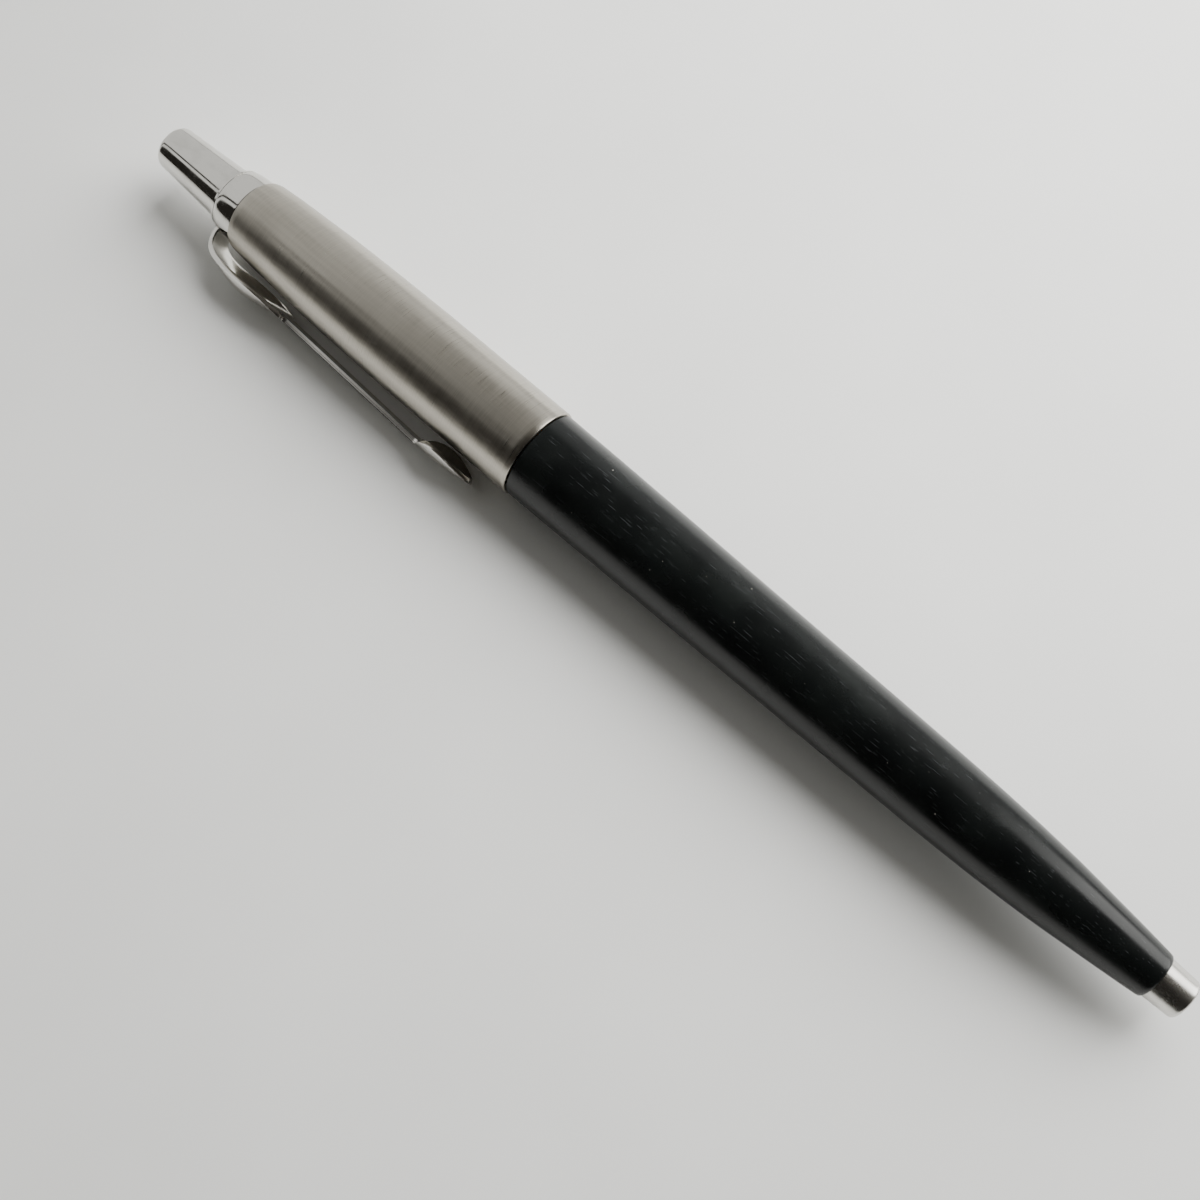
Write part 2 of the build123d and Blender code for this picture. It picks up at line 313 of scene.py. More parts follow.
@dataclass(frozen=True)
class GlossyPlastic(Finish):
    """Moulded styrene barrel: near black and glossy, with dust and fine hair scratches."""

    name: str = "polystyrene_black_moulded"
    speck_spacing: float = 1.7
    speck_radius: float = 0.07
    roughness: float = 0.24
    haze_size: tuple[float, float, float] = (6.0, 4.0, 4.0)
    haze_tint: str = "#131615"
    # the scratches are drawn wider than real ones, so as to show
    hair_sizes: tuple[tuple[float, float, float], ...] = ((2.2, 0.09, 0.09), (2.6, 0.08, 0.08))
    hair_turns: tuple[tuple[float, float, float], ...] = ((0.0, 0.25, 0.6), (0.4, -0.5, -0.35))
    hair_edge: Span = (0.71, 0.76)
    hair_tint: str = "#5A5D5F"
    hair_share: float = 0.3
    hair_depth: float = 0.004
    dust_tint: str = "#8F8C85"

    def recipe(self, tree: bpy.types.NodeTree) -> dict[str, Value]:
        """Lays two runs of hair scratches and specks of dust over a faint haze.

        Args:
            tree: The material's node tree.

        Returns:
            Input names of the shader with their values.
        """
        place = add_node(tree, Kind.COORDINATES).outputs["Object"]
        cells = add_node(tree, Kind.CELLS, Vector=place, Scale=1 / (self.speck_spacing * MM))
        reach = add_node(tree, Kind.MULTIPLY, cells.outputs["Color"],
                         self.speck_radius / self.speck_spacing)
        specks = add_node(tree, Kind.BELOW, cells.outputs["Distance"], reach)
        runs = [add_node(tree, Kind.RANGE, grain(tree, size, 1.0, turn), *self.hair_edge)
                for size, turn in zip(self.hair_sizes, self.hair_turns)]
        hairs = add_node(tree, Kind.LARGER, *runs)
        haze = grain(tree, self.haze_size, detail=4.0)
        tint = add_node(tree, Kind.MIX, add_node(tree, Kind.RANGE, haze, 0.35, 0.75),
                        linear(Moulded.BLACK.value), linear(self.haze_tint))
        scratched = add_node(tree, Kind.RANGE, hairs, 0.0, 1.0, 0.0, self.hair_share)
        tint = add_node(tree, Kind.MIX, scratched, tint, linear(self.hair_tint))
        hazed = add_node(tree, Kind.RANGE, haze, 0.3, 0.75, self.roughness - 0.05,
                         self.roughness + 0.09)
        dusty = add_node(tree, Kind.RANGE, specks, 0.0, 1.0, 0.0, 0.4)
        return {
            "Base Color": add_node(tree, Kind.MIX, specks, tint, linear(self.dust_tint)),
            "Roughness": add_node(tree, Kind.ADD, hazed, dusty),
            "Normal": add_node(tree, Kind.BUMP, Strength=0.12, Distance=self.hair_depth * MM,
                               Height=hairs),
            "IOR": 1.40,
        }


@dataclass(frozen=True)
class SatinPlastic(Finish):
    """Injection-moulded inner part: matt, with the faint mottle of an unpolished mould."""

    colour: Moulded
    roughness: float = 0.5
    mottle_size: float = 0.35
    mottle_depth: float = 0.01
    mottle_share: float = 0.8

    def recipe(self, tree: bpy.types.NodeTree) -> dict[str, Value]:
        """Mottles the colour, the gloss and the skin alike.

        Args:
            tree: The material's node tree.

        Returns:
            Input names of the shader with their values.
        """
        mottle = grain(tree, (self.mottle_size,) * 3, detail=3.0)
        base = linear(self.colour.value)
        return {
            "Base Color": add_node(tree, Kind.MIX, add_node(tree, Kind.RANGE, mottle, *NOISE_SPAN),
                                   dimmed(base, self.mottle_share), base),
            "Roughness": add_node(tree, Kind.RANGE, mottle, *NOISE_SPAN, self.roughness - 0.06,
                                  self.roughness + 0.08),
            "Normal": add_node(tree, Kind.BUMP, Strength=0.15, Distance=self.mottle_depth * MM,
                               Height=mottle),
            "IOR": 1.49,
        }


@dataclass(frozen=True)
class TurnedMetal(Finish):
    """Lathe-turned or drawn metal: fine tool rings round the axis break up its shine."""

    metal: Metal
    ring_spacing: float = 0.12  # tool marks are finer, drawn wide enough to show
    roughness: float = 0.28
    ring_length: float = 6.0
    ring_depth: float = 0.004
    ring_share: float = 0.78

    def recipe(self, tree: bpy.types.NodeTree) -> dict[str, Value]:
        """Cuts rings into the colour, the gloss and the skin alike.

        Args:
            tree: The material's node tree.

        Returns:
            Input names of the shader with their values.
        """
        rings = grain(tree, (self.ring_spacing, self.ring_length, self.ring_length), detail=2.0)
        base = linear(self.metal.value)
        return {
            "Base Color": add_node(tree, Kind.MIX, add_node(tree, Kind.RANGE, rings, *NOISE_SPAN),
                                   dimmed(base, self.ring_share), base),
            "Roughness": add_node(tree, Kind.RANGE, rings, *NOISE_SPAN, self.roughness - 0.07,
                                  self.roughness + 0.08),
            "Normal": add_node(tree, Kind.BUMP, Strength=0.2, Distance=self.ring_depth * MM,
                               Height=rings),
            "Metallic": 1.0,
        }


@dataclass(frozen=True)
class PaperBoard(Finish):
    """Uncoated pale board: matt, with a cloudiness that is hardly seen."""

    name: str = "paper_board_matt"
    pale: str = "#EFEFEC"
    cloud: str = "#EAEAE7"
    cloud_size: float = 26.0

    def recipe(self, tree: bpy.types.NodeTree) -> dict[str, Value]:
        """Clouds the board's colour.

        Args:
            tree: The material's node tree.

        Returns:
            Input names of the shader with their values.
        """
        clouds = grain(tree, (self.cloud_size,) * 3, detail=3.0)
        return {
            "Base Color": add_node(tree, Kind.MIX, add_node(tree, Kind.RANGE, clouds, 0.35, 0.7),
                                   linear(self.cloud), linear(self.pale)),
            "Roughness": 0.75,
        }


def smooth(points: Sequence[tuple[float, float]], cuts: int) -> Profile:
    """Runs a smooth curve through points that go forward along the axis.

    Args:
        points: Station and radius of each point.
        cuts: Pieces that each stretch is divided into.

    Returns:
        The points of the curve, ends included.
    """
    slopes = []
    for i in range(len(points)):
        before, after = points[max(i - 1, 0)], points[min(i + 1, len(points) - 1)]
        slopes.append((after[1] - before[1]) / (after[0] - before[0]))
    curve: Profile = []
    for start, end, up, down in zip(points, points[1:], slopes, slopes[1:]):
        third = (end[0] - start[0]) / 3
        leave = Vector((start[0] + third, start[1] + up * third, 0))
        arrive = Vector((end[0] - third, end[1] - down * third, 0))
        bend = interpolate_bezier(Vector((*start, 0)), leave, arrive, Vector((*end, 0)), cuts + 1)
        curve += [(p.x, p.y) for p in bend[:-1]]
    return curve + [tuple(points[-1])]


@dataclass(frozen=True)
class PenAxis:
    """Where the pen's axis lies in the frame, and how far the clip is rolled round it."""

    start: float  # button end, in metres along X
    across: float
    height: float
    roll: float

    @classmethod
    def from_frame(cls) -> "PenAxis":
        """Reads the axis from the CAD boxes and the clip's joint.

        Returns:
            The pen's axis.
        """
        low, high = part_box("lower_barrel")
        flex = next(j for j in frame["record"]["behaviour"]["joints"] if j["name"] == "clip_flex")
        sideways = Vector(flex["axis"]) * -1
        return cls(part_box("push_button")[0][0], (low[1] + high[1]) / 2, (low[2] + high[2]) / 2,
                   math.atan2(sideways.z, sideways.y))

    def station(self, node: str, end: int) -> float:
        """Gives a CAD node's first (0) or last (1) station from the button end, in millimetres."""
        return (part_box(node)[end][0] - self.start) / MM

    def point(self, station: float, radius: float) -> Vector:
        """Point above the axis at a station and radius in millimetres, in metres."""
        return Vector((self.start + station * MM, self.across, self.height + radius * MM))


def clear_selection() -> None:
    """Leaves edit mode and deselects every object."""
    if bpy.context.object and bpy.context.object.mode != "OBJECT":
        bpy.ops.object.mode_set(mode="OBJECT")
    bpy.ops.object.select_all(action="DESELECT")


def one_vertex(name: str, place: Vector) -> bpy.types.Object:
    """Starts a piece from a plane drawn together to one point, in edit mode.

    Args:
        name: Name of the piece.
        place: Where the point is, in metres.

    Returns:
        The new object, in edit mode with its vertex selected.
    """
    clear_selection()
    bpy.ops.mesh.primitive_plane_add(size=MM, location=place)
    piece = bpy.context.active_object
    piece.name = piece.data.name = name
    bpy.ops.object.transform_apply(location=True, rotation=True, scale=True)
    bpy.ops.object.mode_set(mode="EDIT")
    bpy.ops.mesh.select_all(action="SELECT")
    bpy.ops.mesh.merge(type="CENTER")
    return piece


def round_edges(piece: bpy.types.Object, edge: float, angle: float) -> None:
    """Rounds a piece's sharp edges.

    Args:
        piece: Object in object mode.
        edge: Width of the rounding, in millimetres.
        angle: Least angle of an edge that counts as sharp, in degrees.
    """
    bevel = piece.modifiers.new("edges", "BEVEL")
    bevel.width, bevel.segments = edge * MM, 2
    bevel.limit_method, bevel.angle_limit = "ANGLE", math.radians(angle)
    bpy.ops.object.modifier_apply(modifier="edges")


def settle(piece: bpy.types.Object, place: Vector, roll: float = 0.0) -> None:
    """Turns a piece round X, moves it, and puts both into its mesh."""
    piece.rotation_euler.x, piece.location = roll, place
    bpy.ops.object.transform_apply(location=True, rotation=True, scale=True)


def turned(name: str, axis: PenAxis, profile: Profile, edge: float = 0.0,
           steps: int = 128) -> bpy.types.Object:
    """Draws an outline point by point and spins it round the pen axis.

    Args:
        name: Name of the piece.
        axis: The pen's axis.
        profile: Stations and radii in millimetres; a wall's outline comes back to its start.
        edge: Rounding of the sharp edges, in millimetres, or 0.
        steps: Facets round the axis.

    Returns:
        The finished piece.
    """
    piece = one_vertex(name, axis.point(*profile[0]))
    for (x0, r0), (x1, r1) in zip(profile, profile[1:]):
        step = ((x1 - x0) * MM, 0, (r1 - r0) * MM)
        bpy.ops.mesh.extrude_vertices_move(TRANSFORM_OT_translate={"value": step})
    bpy.ops.mesh.select_all(action="SELECT")
    bpy.ops.mesh.spin(steps=steps, angle=2 * math.pi, center=axis.point(0, 0), axis=(1, 0, 0))
    bpy.ops.mesh.select_all(action="SELECT")
    bpy.ops.mesh.remove_doubles(threshold=SEAM * MM)
    bpy.ops.mesh.normals_make_consistent(inside=False)
    bpy.ops.object.mode_set(mode="OBJECT")
    if edge > 0:
        round_edges(piece, edge, angle=30)
    bpy.ops.object.shade_smooth_by_angle(angle=math.radians(38))
    return piece


def quarter_round(radius: float) -> Profile:
    """Gives the sine and cosine legs of a quarter circle in steps of 15 degrees, in millimetres."""
    turns = [math.radians(degrees) for degrees in range(0, 91, 15)]
    return [(radius * math.sin(turn), radius * math.cos(turn)) for turn in turns]


def dress(piece: bpy.types.Object, finish: Finish) -> None:
    """Gives a piece its one material.

    Args:
        piece: Finished piece.
        finish: Its finish.
    """
    piece.data.materials.clear()
    piece.data.materials.append(finish.material())


def report(piece: bpy.types.Object, body: str) -> None:
    """Logs a finished piece."""
    log.info("%s rides on %s, %d faces", piece.name, body, len(piece.data.polygons))


@dataclass
class PushButton:
    """The drawn steel button that clicks the refill out and in."""

    axis: PenAxis
    length: float = 18.37
    visible: float = 10.07
    tip_radius: float = 2.52
    base_radius: float = 3.12
    flange_radius: float = 3.30
    wall: float = 0.35
    crown: float = 0.6
    flange_width: float = 1.0
    end_wall: float = 1.0
    dish: float = 0.06  # how far the end is dished in the middle
    edge: float = 0.05

    def build(self, finish: PolishedMetal) -> None:
        """Spins the button with a rounded end and dresses it.

        Args:
            finish: Finish of the button.
        """
        end = [(self.crown - along, self.tip_radius - self.crown + out)
               for out, along in quarter_round(self.crown)]
        middle = (self.tip_radius + self.base_radius) / 2
        taper = smooth([(self.crown, self.tip_radius), (self.visible * 0.55, middle),
                        (self.visible, self.base_radius)], cuts=8)
        inner, flange = self.base_radius - self.wall, self.length - self.flange_width
        profile = [(self.dish, 0.0), (self.dish / 2, self.tip_radius / 2), *end, *taper[1:],
                   (flange, self.base_radius), (flange, self.flange_radius),
                   (self.length, self.flange_radius), (self.length, inner), (self.visible, inner),
                   (self.end_wall, self.tip_radius - self.wall), (self.end_wall, 0.0)]
        piece = turned("button_shell", self.axis, profile, self.edge)
        dress(piece, finish)
        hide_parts("push_button")
        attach(piece, "button")
        report(piece, "button")


@dataclass
class SteelCap:
    """The brushed cap with its polished collar."""

    axis: PenAxis
    radius: float = 5.10
    flare: float = 1.223
    wall: float = 0.37
    floor: float = 0.6
    bush_radius: float = 3.45
    collar_radius: float = 3.853
    straight: float = 0.9  # plain length before the seam
    facets: int = 160
    shape: Profile = field(default_factory=lambda: [
        # share of the length, share of the radius
        (0.012, 0.835), (0.08, 0.878), (0.3, 0.958), (0.55, 0.997), (0.62, 1.0)])
    end_chamfer: Profile = field(default_factory=lambda: [
        # before the seam, in from the radius
        (0.13, 0.0), (0.03, 0.07), (0.0, 0.17)])
    dome: Profile = field(default_factory=lambda: [
        # from the collar's top, share of its radius
        (0.14, 0.945), (0.6, 0.972), (1.6, 0.993)])

    def build(self, brushed: BrushedSteel, polished: PolishedMetal) -> None:
        """Builds the cap and its collar.

        Args:
            brushed: Finish of the cap.
            polished: Finish of the collar.
        """
        self.build_cap(brushed)
        self.build_collar(polished)

    def build_cap(self, brushed: BrushedSteel) -> None:
        """Spins the flared cap with its wall and its pierced end.

        Args:
            brushed: Finish of the cap.
        """
        start, end = self.axis.station("cap_shell", 0), self.axis.station("cap_shell", 1)
        length, top, floor = end - start, self.radius / self.flare, start + self.floor
        outside = smooth([(start + f * length, g * self.radius) for f, g in self.shape], cuts=10)
        shoulder = [(start, top - 0.10), (start + 0.06, top - 0.02)]
        inside = [(x, r - self.wall) for x, r in reversed(outside[2:])]
        profile = [*shoulder, *outside, (end - self.straight, self.radius),
                   *((end - back, self.radius - drop) for back, drop in self.end_chamfer),
                   (end, self.radius - self.wall), *inside, (floor, inside[-1][1] - 0.05),
                   (floor, self.bush_radius), (start, self.bush_radius), shoulder[0]]
        cap = turned("steel_cap", self.axis, profile, steps=self.facets)
        dress(cap, brushed)
        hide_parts("cap_shell")
        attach(cap, "cap")
        report(cap, "cap")

    def build_collar(self, polished: PolishedMetal) -> None:
        """Spins the clip's domed collar.

        Args:
            polished: Finish of the collar.
        """
        top, low = self.axis.station("clip_ring", 0), self.axis.station("clip_ring", 1)
        wide = self.collar_radius
        dome = smooth([(top, self.bush_radius + 0.12),
                       *((top + down, wide * share) for down, share in self.dome),
                       (low - 0.12, wide)], cuts=6)
        profile = [*dome, (low, wide - 0.1), (low, self.bush_radius), (top, self.bush_radius),
                   dome[0]]
        ring = turned("clip_collar", self.axis, profile, edge=0.04)
        dress(ring, polished)
        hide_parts("clip_ring")
        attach(ring, "cap")
        report(ring, "cap")


@dataclass
class PocketClip:
    """The spring clip: one stamped strip from the collar to a deep, rounded spoon."""

    axis: PenAxis
    thickness: float = 0.50
    edge: float = 0.08
    strips: int = 16
    bend: Span = (4.1, 5.5)  # above the axis, where it goes over from the cap's body to its own
    stations: list[tuple[float, float, float, float]] = field(default_factory=lambda: [
        # station, crest above the axis, half width, bow across the strip
        # the rise out of the collar
        (10.45, 3.60, 1.25, 0.12), (10.50, 4.25, 1.35, 0.15), (10.66, 4.95, 1.45, 0.18),
        (10.92, 5.46, 1.58, 0.22), (11.30, 5.88, 1.72, 0.28), (11.75, 6.19, 1.87, 0.35),
        (12.30, 6.47, 2.02, 0.44), (12.90, 6.72, 2.14, 0.58), (13.60, 6.98, 2.29, 0.80),
        (14.30, 7.22, 2.40, 1.04), (15.10, 7.43, 2.49, 1.27), (16.00, 7.54, 2.53, 1.40),
        # the upper part, down to the step into the shank
        (17.00, 7.54, 2.53, 1.40), (18.00, 7.43, 2.47, 1.28), (19.00, 7.27, 2.35, 1.08),
        (20.00, 7.09, 2.20, 0.85), (21.00, 6.93, 2.03, 0.60), (21.90, 6.82, 1.85, 0.41),
        (22.40, 6.78, 1.72, 0.32), (22.60, 6.77, 1.58, 0.27), (22.74, 6.77, 1.20, 0.15),
        # the shank
        (22.88, 6.77, 0.89, 0.09), (23.30, 6.77, 0.84, 0.07), (28.00, 6.93, 0.84, 0.07),
        (33.00, 7.12, 0.84, 0.07), (38.00, 7.30, 0.84, 0.07), (42.80, 7.47, 0.84, 0.07),
        # the spoon
        (43.15, 7.48, 0.86, 0.08), (43.30, 7.49, 1.10, 0.18), (43.45, 7.50, 1.48, 0.38),
        (43.70, 7.52, 1.85, 0.65), (44.10, 7.53, 2.15, 0.92), (44.70, 7.54, 2.38, 1.14),
        (45.40, 7.54, 2.50, 1.25), (46.20, 7.52, 2.50, 1.25), (47.00, 7.47, 2.34, 1.12),
        (47.80, 7.40, 2.10, 0.93), (48.50, 7.33, 1.81, 0.72), (49.10, 7.25, 1.50, 0.51),
        (49.60, 7.17, 1.17, 0.33), (50.00, 7.09, 0.83, 0.18), (50.30, 7.03, 0.48, 0.07),
        (50.45, 7.00, 0.22, 0.02)])

    def build(self, finish: PolishedMetal) -> None:
        """Extrudes the strip station by station, thickens it and turns it round the pen axis to the
        roll read from its joint.

        Args:
            finish: Finish of the clip.
        """
        piece = self.root_edge()
        for (xa, za, wa, sa), (xb, zb, wb, sb) in zip(self.stations, self.stations[1:]):
            step = ((xb - xa) * MM, 0, (zb - za) * MM)
            bpy.ops.mesh.extrude_edges_move(TRANSFORM_OT_translate={"value": step})
            bpy.ops.transform.resize(value=(1, wb / wa, sb / sa),
                                     center_override=(xb * MM, 0, zb * MM))
        self.thicken(piece)
        centre = self.axis.point(0, 0)
        settle(piece, centre, self.axis.roll)
        dress(piece, finish)
        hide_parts("clip_blade")
        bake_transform(piece)
        log.info("%s bends between cap and clip, %d faces", piece.name, len(piece.data.polygons))

    def root_edge(self) -> bpy.types.Object:
        """Draws the strip's bowed first edge.

        Returns:
            The new object, in edit mode with the edge selected.
        """
        station, crest, half_width, bow = self.stations[0]
        step = 2 * half_width / self.strips
        fall = [bow * (2 * i / self.strips - 1) ** 2 for i in range(self.strips + 1)]
        piece = one_vertex("pocket_clip", Vector((station, -half_width, crest - bow)) * MM)
        for before, after in zip(fall, fall[1:]):
            move = (0, step * MM, (before - after) * MM)
            bpy.ops.mesh.extrude_vertices_move(TRANSFORM_OT_translate={"value": move})
        bpy.ops.mesh.select_all(action="SELECT")
        return piece

    def thicken(self, piece: bpy.types.Object) -> None:
        """Faces the strip outwards, gives it its thickness and rounds its edges.

        Args:
            piece: The strip, in edit mode.
        """
        bpy.ops.mesh.select_all(action="SELECT")
        bpy.ops.mesh.normals_make_consistent(inside=False)
        bpy.ops.object.mode_set(mode="OBJECT")
        if sum(face.normal.z * face.area for face in piece.data.polygons) < 0:
            bpy.ops.object.mode_set(mode="EDIT")
            bpy.ops.mesh.flip_normals()
            bpy.ops.object.mode_set(mode="OBJECT")
        wall = piece.modifiers.new("wall", "SOLIDIFY")
        wall.thickness, wall.offset, wall.use_even_offset = self.thickness * MM, -1, True
        bpy.ops.object.modifier_apply(modifier="wall")
        round_edges(piece, self.edge, angle=55)
        bpy.ops.object.shade_smooth_by_angle(angle=math.radians(40))


@dataclass
class LowerBarrel:
    """The black barrel, its steel nose and the return spring inside it."""

    axis: PenAxis
    radius: float = 4.94
    bore: float = 3.30
    socket: float = 4.03
    socket_depth: float = 5.9
    spring_bore: float = 2.50
    stem_radius: float = 1.85
    nose_radius: float = 2.20
    nose_bore: float = 1.25
    nose_seat: float = 8.8
    nose_taper: float = 0.945
    nose_round: float = 0.42
    stem_wall: float = 0.35
    wire: float = 0.20
    coil_radius: float = 2.025
    turns: int = 9
    travel: float = 5.5  # how far the refill squashes the spring
    bore_taper: Span = (5.4, 6.7)  # behind the shoulder, from the spring's bore to the refill's
    facets: int = 160
    shape: Profile = field(default_factory=lambda: [
        # share of the length, share of the radius
        (0.0, 1.0), (0.1, 0.983), (0.2, 0.9625), (0.4, 0.916), (0.6, 0.868), (0.74, 0.815),
        (0.84, 0.731), (0.91, 0.633), (0.96, 0.556), (0.993, 0.500)])
    lip: Profile = field(default_factory=lambda: [
        # before the end, in from the last radius
        (0.18, 0.07), (0.03, 0.22), (0.0, 0.34)])

    def build(self, plastic: GlossyPlastic, satin: PolishedMetal, wire: TurnedMetal) -> None:
        """Builds the barrel, the nose and the spring.

        Args:
            plastic: Finish of the barrel.
            satin: Finish of the nose.
            wire: Finish of the spring.
        """
        start, end = self.axis.station("lower_barrel", 0), self.axis.station("lower_barrel", 1)
        shoulder = end - self.nose_seat
        self.build_barrel(plastic, start, shoulder, end)
        self.build_nose(satin, shoulder, end)
        self.build_spring(wire)

    def build_barrel(self, plastic: GlossyPlastic, start: float, shoulder: float,
                     end: float) -> None:
        """Spins the tapered barrel with its bores.

        Args:
            plastic: Finish of the barrel.
            start: Station of its mouth.
            shoulder: Station where the nose's stem begins.
            end: Station of its end.
        """
        length = end - start
        outside = smooth([(start + f * length, g * self.radius) for f, g in self.shape], cuts=9)
        last, depth = outside[-1][1], start + self.socket_depth
        narrow, wide = (shoulder - back for back in self.bore_taper)
        mouth = (start, self.radius - 0.10)
        profile = [mouth, (start + 0.10, self.radius - 0.01), *outside[1:],
                   *((end - back, last - drop) for back, drop in self.lip),
                   (end, self.stem_radius), (shoulder, self.stem_radius),
                   (shoulder, self.spring_bore), (narrow, self.spring_bore), (wide, self.bore),
                   (depth, self.bore), (depth, self.socket), (start, self.socket), mouth]
        barrel = turned("black_barrel", self.axis, profile, steps=self.facets)
        dress(barrel, plastic)
        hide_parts("lower_barrel")
        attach(barrel, "barrel")
        report(barrel, "barrel")

    def build_nose(self, satin: PolishedMetal, shoulder: float, end: float) -> None:
        """Spins the nose piece, with a rounded mouth.

        Args:
            satin: Finish of the nose.
            shoulder: Station where its stem begins.
            end: Station of the barrel's end.
        """
        tip, front = self.axis.station("nose_tip", 1), self.nose_radius * self.nose_taper
        mouth = [(tip - self.nose_round + along, front - self.nose_round + out)
                 for along, out in quarter_round(self.nose_round)]
        seat, inner = end - 0.02, self.stem_radius - self.stem_wall
        profile = [(seat, self.nose_radius), (tip - 0.8, front + 0.02), *mouth,
                   (tip - 0.04, self.nose_bore + 0.06), (tip - 0.12, self.nose_bore),
                   (tip - 1.8, self.nose_bore), (tip - 2.2, inner), (shoulder, inner),
                   (shoulder, self.stem_radius), (seat, self.stem_radius), (seat, self.nose_radius)]
        nose = turned("steel_nose", self.axis, profile)
        dress(nose, satin)
        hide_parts("nose_tip")
        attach(nose, "barrel")
        report(nose, "barrel")

    def build_spring(self, finish: TurnedMetal) -> None:
        """Winds the spring from a wire ring with the screw modifier.

        Args:
            finish: Finish of the wire.
        """
        start, end = self.axis.station("return_spring", 0), self.axis.station("return_spring", 1)
        clear_selection()
        bpy.ops.mesh.primitive_circle_add(vertices=10, radius=self.wire * MM,
                                          rotation=(math.pi / 2, 0, 0),
                                          location=(0, 0, self.coil_radius * MM))
        piece = bpy.context.active_object
        piece.name = piece.data.name = "coil_spring"
        bpy.ops.object.transform_apply(location=True, rotation=True, scale=True)
        coil = piece.modifiers.new("coil", "SCREW")
        coil.axis, coil.angle, coil.iterations = "X", 2 * math.pi, self.turns
        coil.steps = coil.render_steps = 32
        coil.screw_offset = (end - start - 2 * self.wire) / self.turns * MM
        bpy.ops.object.modifier_apply(modifier="coil")
        bpy.ops.object.mode_set(mode="EDIT")
        bpy.ops.mesh.select_all(action="DESELECT")
        bpy.ops.mesh.select_non_manifold()
        bpy.ops.mesh.edge_face_add()
        bpy.ops.mesh.select_all(action="SELECT")
        bpy.ops.mesh.normals_make_consistent(inside=False)
        bpy.ops.object.mode_set(mode="OBJECT")
        bpy.ops.object.shade_smooth_by_angle(angle=math.radians(50))
        settle(piece, self.axis.point(start + self.wire, 0))
        dress(piece, finish)
        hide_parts("return_spring")
        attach(piece, "barrel")
        self.axis.point(end, 0)
        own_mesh(piece)
        report(piece, "barrel")


@dataclass
class InnerParts:
    """CAD pieces inside the pen that keep their shape and get a finish."""

    finishes: dict[str, Finish]

    def build(self) -> None:
        """Dresses each node."""
        for node, finish in self.finishes.items():
            material = finish.material()
            for slot in frame["nodes"][node].material_slots:
                slot.material = material
            log.info("%s dressed in %s", node, material.name)


@dataclass(frozen=True)
class Room:
    """The room that metal mirrors: dark, with a pale ceiling and wall and one bright window.

    Every span says between which parts of a direction's X or Y an edge goes from none to full.
    """

    dark: str = "#57544F"
    near: str = "#2B2926"
    pale: str = "#F4F4F1"
    window_strength: float = 6.0
    ceiling: Span = (-0.36, -0.50)
    wall: Span = (0.66, 0.82)
    wall_end: Span = (0.18, 0.0)
    wall_least: float = 0.4  # what is left of the wall past its end
    near_edge: Span = (-0.58, -0.55)
    beam_place: float = 0.41
    beam_edge: Span = (0.03, 0.05)
    window_sill: Span = (0.19, 0.26)
    window_left: Span = (0.45, 0.55)
    window_right: Span = (0.95, 0.90)
    dusk: Span = (0.10, -0.15)

    def build(self) -> None:
        """Makes the room the scene's world."""
        world = bpy.data.worlds.new("room")
        bpy.context.scene.world = world
        world.use_nodes = True
        tree = world.node_tree
        tree.nodes.clear()
        direction = add_node(tree, Kind.COORDINATES).outputs["Generated"]
        along = add_node(tree, Kind.SEPARATE, direction).outputs
        pale, window = self.pale_parts(tree, along), self.window(tree, along)
        dusk = add_node(tree, Kind.RANGE, along["Y"], *self.dusk)
        shade = add_node(tree, Kind.MIX, dusk, linear(self.dark), linear(self.near))
        lit = add_node(tree, Kind.LARGER, pale, window)
        colour = add_node(tree, Kind.MIX, lit, shade, linear(self.pale))
        strength = add_node(tree, Kind.RANGE, window, 0.0, 1.0, 1.0, self.window_strength)
        back = add_node(tree, Kind.BACKGROUND, Color=colour, Strength=strength)
        add_node(tree, Kind.WORLD, Surface=back)

    def pale_parts(self, tree: bpy.types.NodeTree, along: Sequence) -> bpy.types.Node:
        """Lays out the pale ceiling and wall, cut off by the dark near side and by a beam.

        Args:
            tree: The world's node tree.
            along: Sockets of the direction's parts.

        Returns:
            The node of their share.
        """
        ceiling = add_node(tree, Kind.RANGE, along["X"], *self.ceiling)
        wall = add_node(tree, Kind.MULTIPLY, add_node(tree, Kind.RANGE, along["Y"], *self.wall),
                        add_node(tree, Kind.RANGE, along["X"], *self.wall_end, self.wall_least))
        near_side = add_node(tree, Kind.RANGE, along["Y"], *self.near_edge)
        from_beam = add_node(tree, Kind.ABSOLUTE,
                             add_node(tree, Kind.ADD, along["Y"], self.beam_place))
        beam = add_node(tree, Kind.RANGE, from_beam, *self.beam_edge)
        bright = add_node(tree, Kind.LARGER, ceiling, wall)
        return add_node(tree, Kind.MULTIPLY, add_node(tree, Kind.MULTIPLY, bright, near_side), beam)

    def window(self, tree: bpy.types.NodeTree, along: Sequence) -> bpy.types.Node:
        """Lays out the window.

        Args:
            tree: The world's node tree.
            along: Sockets of the direction's parts.

        Returns:
            The node of its share.
        """
        across = add_node(tree, Kind.MULTIPLY,
                          add_node(tree, Kind.RANGE, along["Y"], *self.window_left),
                          add_node(tree, Kind.RANGE, along["Y"], *self.window_right))
        up = add_node(tree, Kind.RANGE, along["X"], *self.window_sill)
        return add_node(tree, Kind.MULTIPLY, up, across)


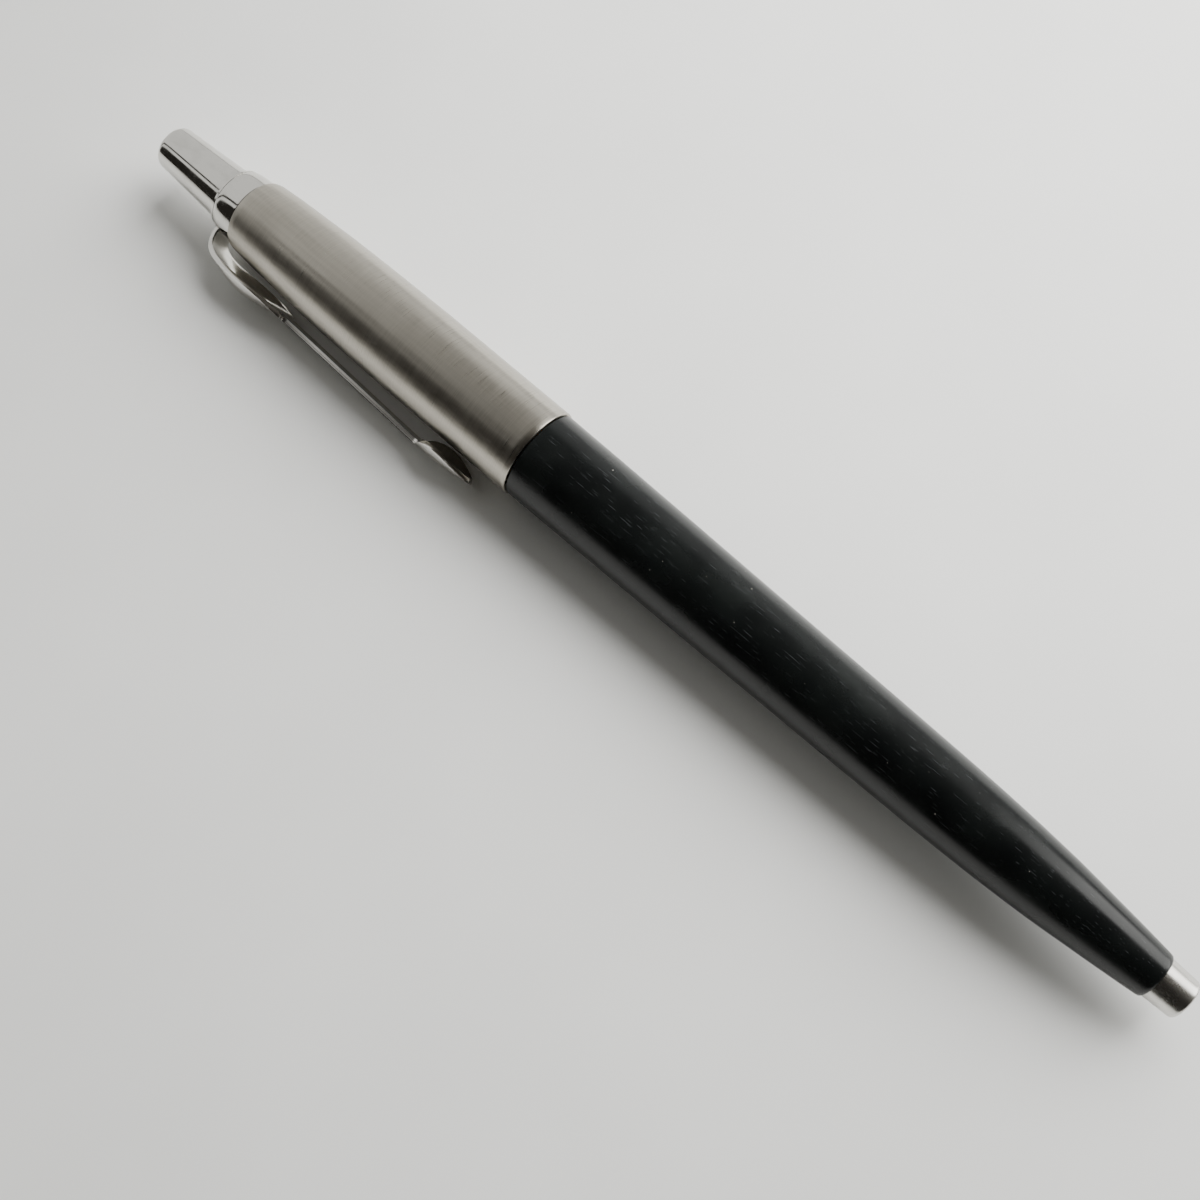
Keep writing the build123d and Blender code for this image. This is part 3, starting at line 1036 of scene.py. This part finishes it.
@dataclass
class Studio:
    """Pale floor, soft key light, the room to mirror, and the camera."""

    axis: PenAxis
    floor_size: float = 12000.0
    camera_place: tuple[float, float, float] = (97.205, -37.93, 127.89)  # from the button's end
    camera_aim: tuple[float, float, float] = (68.245, -6.04, -5.10)
    lens: float = 41.37
    sensor: float = 36.0
    sight: Span = (5.0, 20000.0)
    key_place: tuple[float, float, float] = (20.0, 165.0, 130.0)
    key_aim: tuple[float, float, float] = (0.0, 60.0, 0.0)
    key_size: float = 220.0
    key_power: float = 0.58
    key_spread: float = 115.0  # degrees, so that the floor far from it falls off

    def build(self) -> None:
        """Builds the floor, the light, the room and the camera."""
        self.build_floor(PaperBoard())
        self.build_key()
        Room().build()
        self.build_camera()

    def build_floor(self, board: PaperBoard) -> None:
        """Lays the floor.

        Args:
            board: Finish of the floor.
        """
        clear_selection()
        bpy.ops.mesh.primitive_plane_add(size=self.floor_size * MM, location=(0, 0, 0))
        floor = bpy.context.active_object
        floor.name = "floor"
        bpy.ops.object.mode_set(mode="EDIT")
        bpy.ops.mesh.subdivide(number_cuts=4)
        bpy.ops.object.mode_set(mode="OBJECT")
        floor.data.materials.append(board.material())

    def build_key(self) -> None:
        """Adds the soft square light that casts the shadow; metal mirrors the window instead."""
        place, aim = Vector(self.key_place) * MM, Vector(self.key_aim) * MM
        bpy.ops.object.light_add(type="AREA", location=place)
        light = bpy.context.active_object
        light.name = "key"
        light.rotation_euler = (aim - place).to_track_quat("-Z", "Y").to_euler()
        light.data.size, light.data.energy = self.key_size * MM, self.key_power
        light.data.spread = math.radians(self.key_spread)
        light.visible_glossy = False

    def build_camera(self) -> None:
        """Adds the camera."""
        origin = self.axis.point(0, 0)
        place, aim = origin + Vector(self.camera_place) * MM, origin + Vector(self.camera_aim) * MM
        turn = (aim - place).to_track_quat("-Z", "Y").to_euler()
        bpy.ops.object.camera_add(location=place, rotation=turn)
        camera = bpy.context.active_object
        camera.data.lens, camera.data.sensor_width = self.lens, self.sensor
        camera.data.clip_start, camera.data.clip_end = (reach * MM for reach in self.sight)
        bpy.context.scene.camera = camera


def main() -> None:
    logging.basicConfig(level=logging.INFO, format="%(name)s: %(message)s")
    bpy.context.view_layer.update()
    axis = PenAxis.from_frame()
    chrome = PolishedMetal("steel_polished", Metal.POLISHED)
    satin = PolishedMetal("steel_satin", Metal.POLISHED, 0.24, 0.06)
    wire = TurnedMetal("spring_wire_drawn", Metal.SPRING, 0.3, 0.3)
    brass = TurnedMetal("brass_turned", Metal.BRASS)
    PushButton(axis).build(chrome)
    SteelCap(axis).build(BrushedSteel(), chrome)
    PocketClip(axis).build(chrome)
    LowerBarrel(axis).build(GlossyPlastic(), satin, wire)
    InnerParts({
        "retaining_bush": chrome,
        "button_core": SatinPlastic("acetal_ivory_moulded", Moulded.IVORY),
        "cam_rotor": SatinPlastic("acetal_red_moulded", Moulded.RED),
        "mechanism_sleeve": brass,
        "thread_insert": brass,
        "barrel_thread": brass,
        "refill_crown": SatinPlastic("nylon_ivory_moulded", Moulded.IVORY, 0.42),
        "refill_tube": TurnedMetal("refill_tube_drawn", Metal.NICKEL, 0.5, 0.22),
        "refill_point": TurnedMetal("nickel_silver_turned", Metal.NICKEL, 0.08, 0.2),
        "writing_ball": PolishedMetal("carbide_ball_lapped", Metal.CARBIDE, 0.12),
        "ink_follower": SatinPlastic("silicone_grease", Moulded.GREASE, 0.3),
        "ink_column": SatinPlastic("iodine_ink", Moulded.INK, 0.15),
    }).build()
    Studio(axis).build()


if __name__ == "__main__":
    main()
